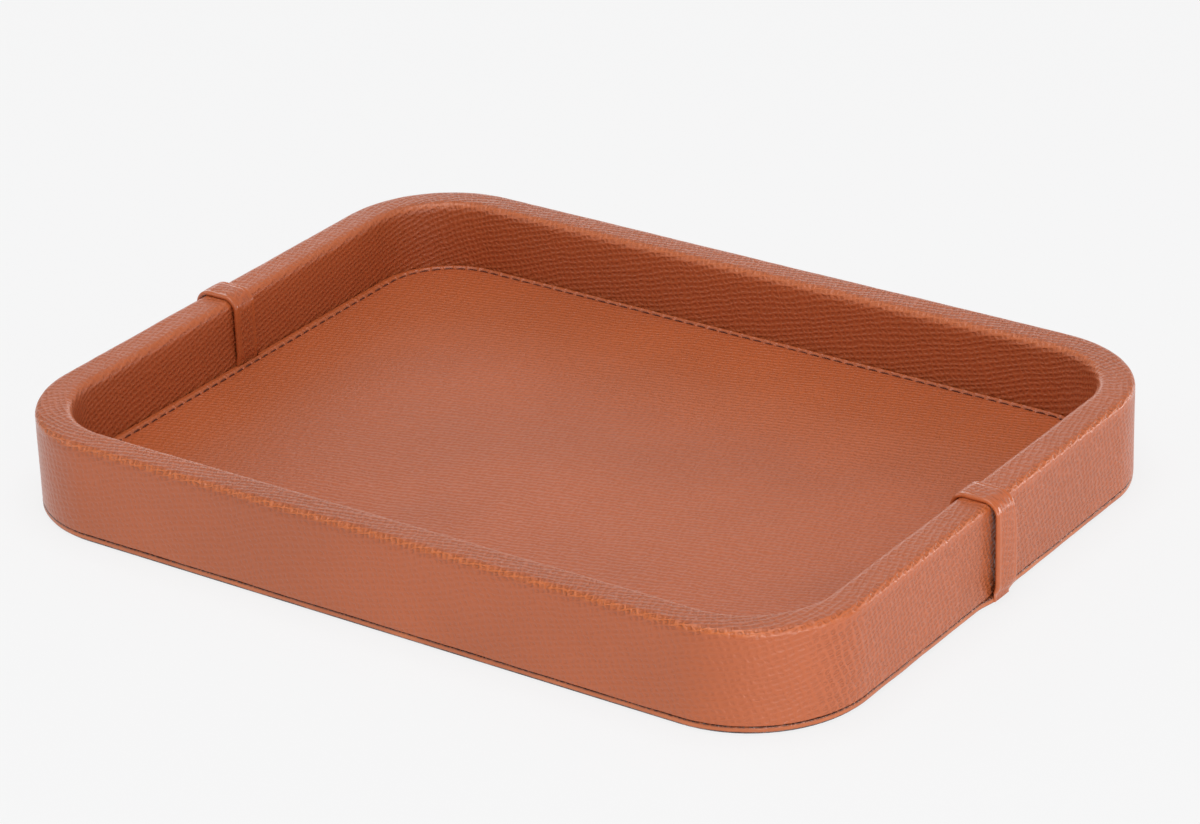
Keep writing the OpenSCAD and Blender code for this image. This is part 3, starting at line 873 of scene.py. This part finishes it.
def mat(material):
    """The mat: leather over a board, with a rolled edge and a groove for its stitches."""
    bm = bmesh.new()
    thick = MAT_Z - FLOOR_Z
    x = MAT_EDGE_X
    tip = bm.verts.new((x - MAT_STRIP_W, 0, MAT_Z))
    tip = draw_line(bm, tip, x=MAT_STRIP_W - MAT_FINE_W, steps=2)
    tip = draw_line(bm, tip, x=MAT_FINE_W - MAT_EDGE_R, steps=20)
    tip = draw_arc(bm, tip, (x - MAT_EDGE_R, 0, MAT_Z - MAT_EDGE_R), Vector((0, 1, 0)), steps=5)
    tip = draw_line(bm, tip, z=MAT_EDGE_R - thick, steps=2)
    tip = draw_line(bm, tip, x=-MAT_LEATHER_T)
    tip = draw_line(bm, tip, z=thick - MAT_LEATHER_T)
    draw_line(bm, tip, x=MAT_LEATHER_T - MAT_STRIP_W)
    sweep_ring(bm, list(bm.edges), MAT_STEP)
    rims = [edge for edge in bm.edges if edge.is_boundary]
    inner = bmesh.ops.holes_fill(bm, edges=rims, sides=0)["faces"]
    inner += list(dict.fromkeys(part for face in inner for part in (*face.edges, *face.verts)))
    for axis, half in ((0, MAT_EDGE_X), (1, HALF_W)):
        count = round(half / MAT_GRID)
        normal = Vector((axis == 0, axis == 1, 0))
        for number in range(1 - count, count):
            inner = bmesh.ops.bisect_plane(
                bm, geom=inner, dist=TINY, plane_co=normal * half * number / count,
                plane_no=normal)["geom"]
    bmesh.ops.triangulate(bm, faces=[face for face in bm.faces if len(face.verts) > 4])
    top_z = MAT_Z - MAT_EDGE_R - TINY

    def on_face(vert):
        return smooth_step(top_z, MAT_Z, vert.co.z)

    notch_w = STRAP_W / 2 + MAT_FIT
    for vert in bm.verts:
        x, y = vert.co.x, vert.co.y
        depth = MAT_EDGE_X - abs(x)
        vert.co.z += on_face(vert) * mat_height(x, y)
        at_strap = near(notch_w, notch_w + NOTCH_FADE, y)
        if at_strap and depth < NOTCH_REACH:
            vert.co.x -= math.copysign(at_strap * STRAP_T * (1 - depth / NOTCH_REACH), x)
    bmesh.ops.recalc_face_normals(bm, faces=bm.faces)
    uneven(bm, *MAT_SLACK, seed=8, share=on_face)
    uneven(bm, *MAT_RIPPLE, seed=9, share=on_face)

    def on_roll(vert):
        return smooth_step(*MAT_WEAR_OUT, row_place(vert.co.x, vert.co.y)[0])

    set_share(bm, "edge_wear_and_light", lambda vert: MAT_WEAR * on_roll(vert))
    set_share(bm, "smoothed", lambda vert: MAT_FLAT * on_roll(vert))
    set_map(bm, lambda vert: (vert.co.x, vert.co.y))
    return finish_piece(
        bm, "mat", material, ["mat_leather"], sharp=math.radians(70))


def stitch_mesh():
    """One stitch along Y: thread that comes up out of one hole and goes down into the next."""
    bm = bmesh.new()
    bmesh.ops.create_cone(
        bm, cap_ends=True, segments=7, radius1=THREAD_R, radius2=THREAD_R, depth=STITCH_L,
        matrix=Matrix.Rotation(QUARTER, 4, "X"))
    for share in STITCH_RINGS:
        bmesh.ops.bisect_plane(
            bm, geom=[*bm.verts, *bm.edges, *bm.faces], dist=TINY,
            plane_co=(0, share * STITCH_L / 2, 0), plane_no=(0, 1, 0))
    layer = bm.loops.layers.uv.new("UVMap")
    for vert in bm.verts:
        share = abs(vert.co.y) / (STITCH_L / 2)
        spot = (vert.co.y / THREAD_TWIST * 2 * math.pi, math.atan2(vert.co.x, vert.co.z))
        for loop in vert.link_loops:
            loop[layer].uv = spot
        slim = 1 - STITCH_SLIM * share ** 4
        vert.co.x *= slim
        vert.co.z = vert.co.z * slim - STITCH_DIP * share ** 4
    mesh = bpy.data.meshes.new("stitch")
    bm.to_mesh(mesh)
    bm.free()
    return mesh


def stitching(material):
    """The stitches round the mat, each in its own place in the groove."""
    one = stitch_mesh()
    bm = bmesh.new()

    def sew(turn, centre, spot):
        place = Matrix.Translation((*centre, MAT_Z - STITCH_SUNK)) @ Matrix.Rotation(turn, 4, "Z")
        place = place @ Matrix.Translation(spot) @ Matrix.Rotation(STITCH_SLANT, 4, "Z")
        first = len(bm.verts)
        bm.from_mesh(one)
        bm.verts.ensure_lookup_table()
        bmesh.ops.transform(bm, matrix=place, verts=bm.verts[first:])

    rows = (
        (STITCHES_SHORT, ROW_X + ROW_R, ROW_Y), (STITCHES_LONG, ROW_Y + ROW_R, ROW_X),
        (STITCHES_SHORT, ROW_X + ROW_R, ROW_Y), (STITCHES_LONG, ROW_Y + ROW_R, ROW_X))
    for side, (count, reach, half) in enumerate(rows):
        for number in range(count):
            share = 2 * (number + 0.5) / count - 1
            sew(side * QUARTER, (0, 0), (reach, share * half, 0))
    for corner, (x, y) in enumerate(((1, 1), (-1, 1), (-1, -1), (1, -1))):
        for number in range(STITCHES_CORNER):
            turn = (corner + (number + 0.5) / STITCHES_CORNER) * QUARTER
            sew(turn, (x * ROW_X, y * ROW_Y), (ROW_R, 0, 0))
    bpy.data.meshes.remove(one)
    return finish_piece(
        bm, "stitching", material, ["mat_stitching"], sharp=math.radians(60))


# Room, light and camera

def table(material):
    """The wide table that the tray stands on, which stays with the stage."""
    bm = bmesh.new()
    bmesh.ops.create_grid(bm, x_segments=1, y_segments=1, size=TABLE_HALF_W)
    bmesh.ops.translate(bm, vec=(0, 0, -TABLE_DROP), verts=bm.verts)
    mesh = bpy.data.meshes.new("table")
    bm.to_mesh(mesh)
    bm.free()
    mesh.materials.append(material)
    surface = bpy.data.objects.new("table", mesh)
    bpy.context.scene.collection.objects.link(surface)


def white_table():
    """A white surface that glows a little, as a lit studio table does, so shadows stay faint."""
    material, tree, shader = finish_of("white_table", roughness=0.8)
    shader.inputs["Base Color"].default_value = (0.10, 0.10, 0.102, 1)
    shader.inputs["Specular IOR Level"].default_value = 0.0
    shader.inputs["Emission Color"].default_value = (1, 1, 1, 1)
    shader.inputs["Emission Strength"].default_value = TABLE_GLOW
    return material


def toward(turn, lift):
    """The direction that stands turned from -Y towards +X and lifted off the table."""
    level = math.cos(lift)
    return Vector((math.sin(turn) * level, -math.cos(turn) * level, math.sin(lift)))


def soft_light(name, turn, lift, distance, width, height, power):
    """A wide panel of light, turned towards the tray. The angles are in degrees."""
    lamp = bpy.data.lights.new(name, "AREA")
    lamp.shape = "RECTANGLE"
    lamp.size = width
    lamp.size_y = height
    lamp.energy = power
    light = bpy.data.objects.new(name, lamp)
    light.location = toward(math.radians(turn), math.radians(lift)) * distance
    light.rotation_euler = (-light.location).to_track_quat("-Z", "Y").to_euler()
    light.visible_camera = False
    bpy.context.scene.collection.objects.link(light)


def surround(strength):
    """An even white light from all sides."""
    world = bpy.data.worlds.new("white_surround")
    world.use_nodes = True
    world.node_tree.nodes["Background"].inputs["Color"].default_value = (1, 1, 1, 1)
    world.node_tree.nodes["Background"].inputs["Strength"].default_value = strength
    bpy.context.scene.world = world


def add_camera():
    """The camera, which sees the tray in the perspective of the photograph."""
    back = toward(CAMERA_TURN, CAMERA_LIFT)
    right = UP.cross(back).normalized()
    up = back.cross(right)
    facing = Matrix((right, up, back)).transposed() @ Matrix.Rotation(CAMERA_ROLL, 3, "Z")
    lens = bpy.data.cameras.new("camera")
    lens.lens = CAMERA_LENS
    camera = bpy.data.objects.new("camera", lens)
    camera.matrix_world = facing.to_4x4()
    camera.location = back * CAMERA_DISTANCE + right * CAMERA_ASIDE + up * CAMERA_ABOVE
    bpy.context.scene.collection.objects.link(camera)
    bpy.context.scene.camera = camera


# Finishes
# The lighter orange of the rubbed edges: partly real wear, partly painted light on the rounded
# edges
RUBBED_AND_LIT_ORANGE = ((0.44, 0.100, 0.022, 1), (0.55, 0.142, 0.040, 1))
# Each leather's first two colours are for its pits and its ridges; the darker pits are partly
# painted shade
wrap_leather = grained_leather(
    "wrap_leather", (0.405, 0.092, 0.026, 1), (0.435, 0.101, 0.030, 1), RUBBED_AND_LIT_ORANGE,
    depth=0.56 * MM, columns=0.85, ripples=0.85)
floor_leather = grained_leather(
    "floor_leather", (0.424, 0.095, 0.026, 1), (0.456, 0.104, 0.030, 1), RUBBED_AND_LIT_ORANGE,
    depth=0.30 * MM, columns=0.65, ripples=1.2)
# The third colour is the dark edge paint, also used as painted shadow under the lip
base_leather = turned_leather(
    "base_leather", (0.43, 0.11, 0.034, 1), (0.52, 0.145, 0.048, 1), (0.045, 0.014, 0.010, 1))
brown_thread = waxed_thread("brown_thread", (0.085, 0.023, 0.014, 1), (0.20, 0.062, 0.040, 1))

# Finishes of the parts inside, which show when the tray is taken apart
PLANED_WOOD = ((0.42, 0.26, 0.13, 1), (0.60, 0.42, 0.24, 1))
rail_finish = plain_finish("rail_wood", *PLANED_WOOD, scale=40, stretch=(1, 8, 8))
side_finish = plain_finish("side_wood", *PLANED_WOOD, scale=40, stretch=(8, 1, 8))
dowel_finish = plain_finish(
    "dowel_wood", (0.55, 0.38, 0.2, 1), (0.72, 0.55, 0.34, 1), scale=90, stretch=(4, 4, 4))
board_finish = plain_finish(
    "fibre_board", (0.28, 0.17, 0.09, 1), (0.42, 0.28, 0.16, 1), scale=400)
grey_finish = plain_finish(
    "grey_board", (0.18, 0.16, 0.13, 1), (0.26, 0.23, 0.19, 1), scale=500)
steel_finish = plain_finish(
    "plated_steel", (0.42, 0.43, 0.45, 1), (0.58, 0.59, 0.61, 1), scale=300, roughness=0.35,
    metallic=1.0)
felt_finish = plain_finish(
    "brown_felt", (0.012, 0.007, 0.006, 1), (0.035, 0.019, 0.015, 1), scale=1200,
    roughness=0.95)
FINISHES = {
    "underside_lining": felt_finish, "base_board": board_finish, "floor_board": board_finish,
    "base_screws": steel_finish, "floor_brads": steel_finish,
    "rail_front": rail_finish, "rail_back": rail_finish,
    "rail_left": side_finish, "rail_right": side_finish,
    "corner_front_left": rail_finish, "corner_front_right": rail_finish,
    "corner_back_left": rail_finish, "corner_back_right": rail_finish,
    "frame_dowels": dowel_finish, "mat_board": grey_finish,
}

# Pieces. The parts inside keep the bodies of the frame.
rim_wrap("rim_wrap_back_dressed", "rim_wrap_back", side=1, seed=1.3, material=wrap_leather)
rim_wrap("rim_wrap_front_dressed", "rim_wrap_front", side=-1, seed=2.9, material=wrap_leather)
strap("strap_right_dressed", "strap_right", side=1, seed=3.7, material=wrap_leather)
strap("strap_left_dressed", "strap_left", side=-1, seed=4.2, material=wrap_leather)
base_edge(base_leather)
mat(floor_leather)
stitching(brown_thread)
strap_board("strap_board_right", "strap_core_right", side=1, material=grey_finish)
strap_board("strap_board_left", "strap_core_left", side=-1, material=grey_finish)
for node, finish in FINISHES.items():
    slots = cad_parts[node].data.materials
    slots.clear()
    slots.append(finish)

# Each light's turn and lift in degrees, distance, width and height in metres, and power in watts
LIGHTS = {
    "back_panel": (215, 12, 2.0, 1.6, 0.5, 4.9),
    "top_panel": (0, 88, 2.0, 1.4, 1.4, 20.8),
    "right_panel": (63, 24, 2.0, 1.0, 1.0, 5.3),
    "left_panel": (300, 25, 2.0, 1.0, 1.0, 4.2),
    "front_panel": (31, 46, 2.0, 0.6, 0.12, 3.7),
    "low_front_strip": (50, 2.2, 1.2, 0.8, 0.09, 3.2),
    "low_right_strip": (85, 2.2, 1.2, 0.8, 0.09, 2.0),
    "low_side_strip": (145, 2.2, 1.2, 0.8, 0.09, 2.8),
}
table(white_table())
surround(SURROUND_GLOW)
for name, values in LIGHTS.items():
    soft_light(name, *values)
add_camera()
bpy.context.scene.view_settings.view_transform = "Standard"
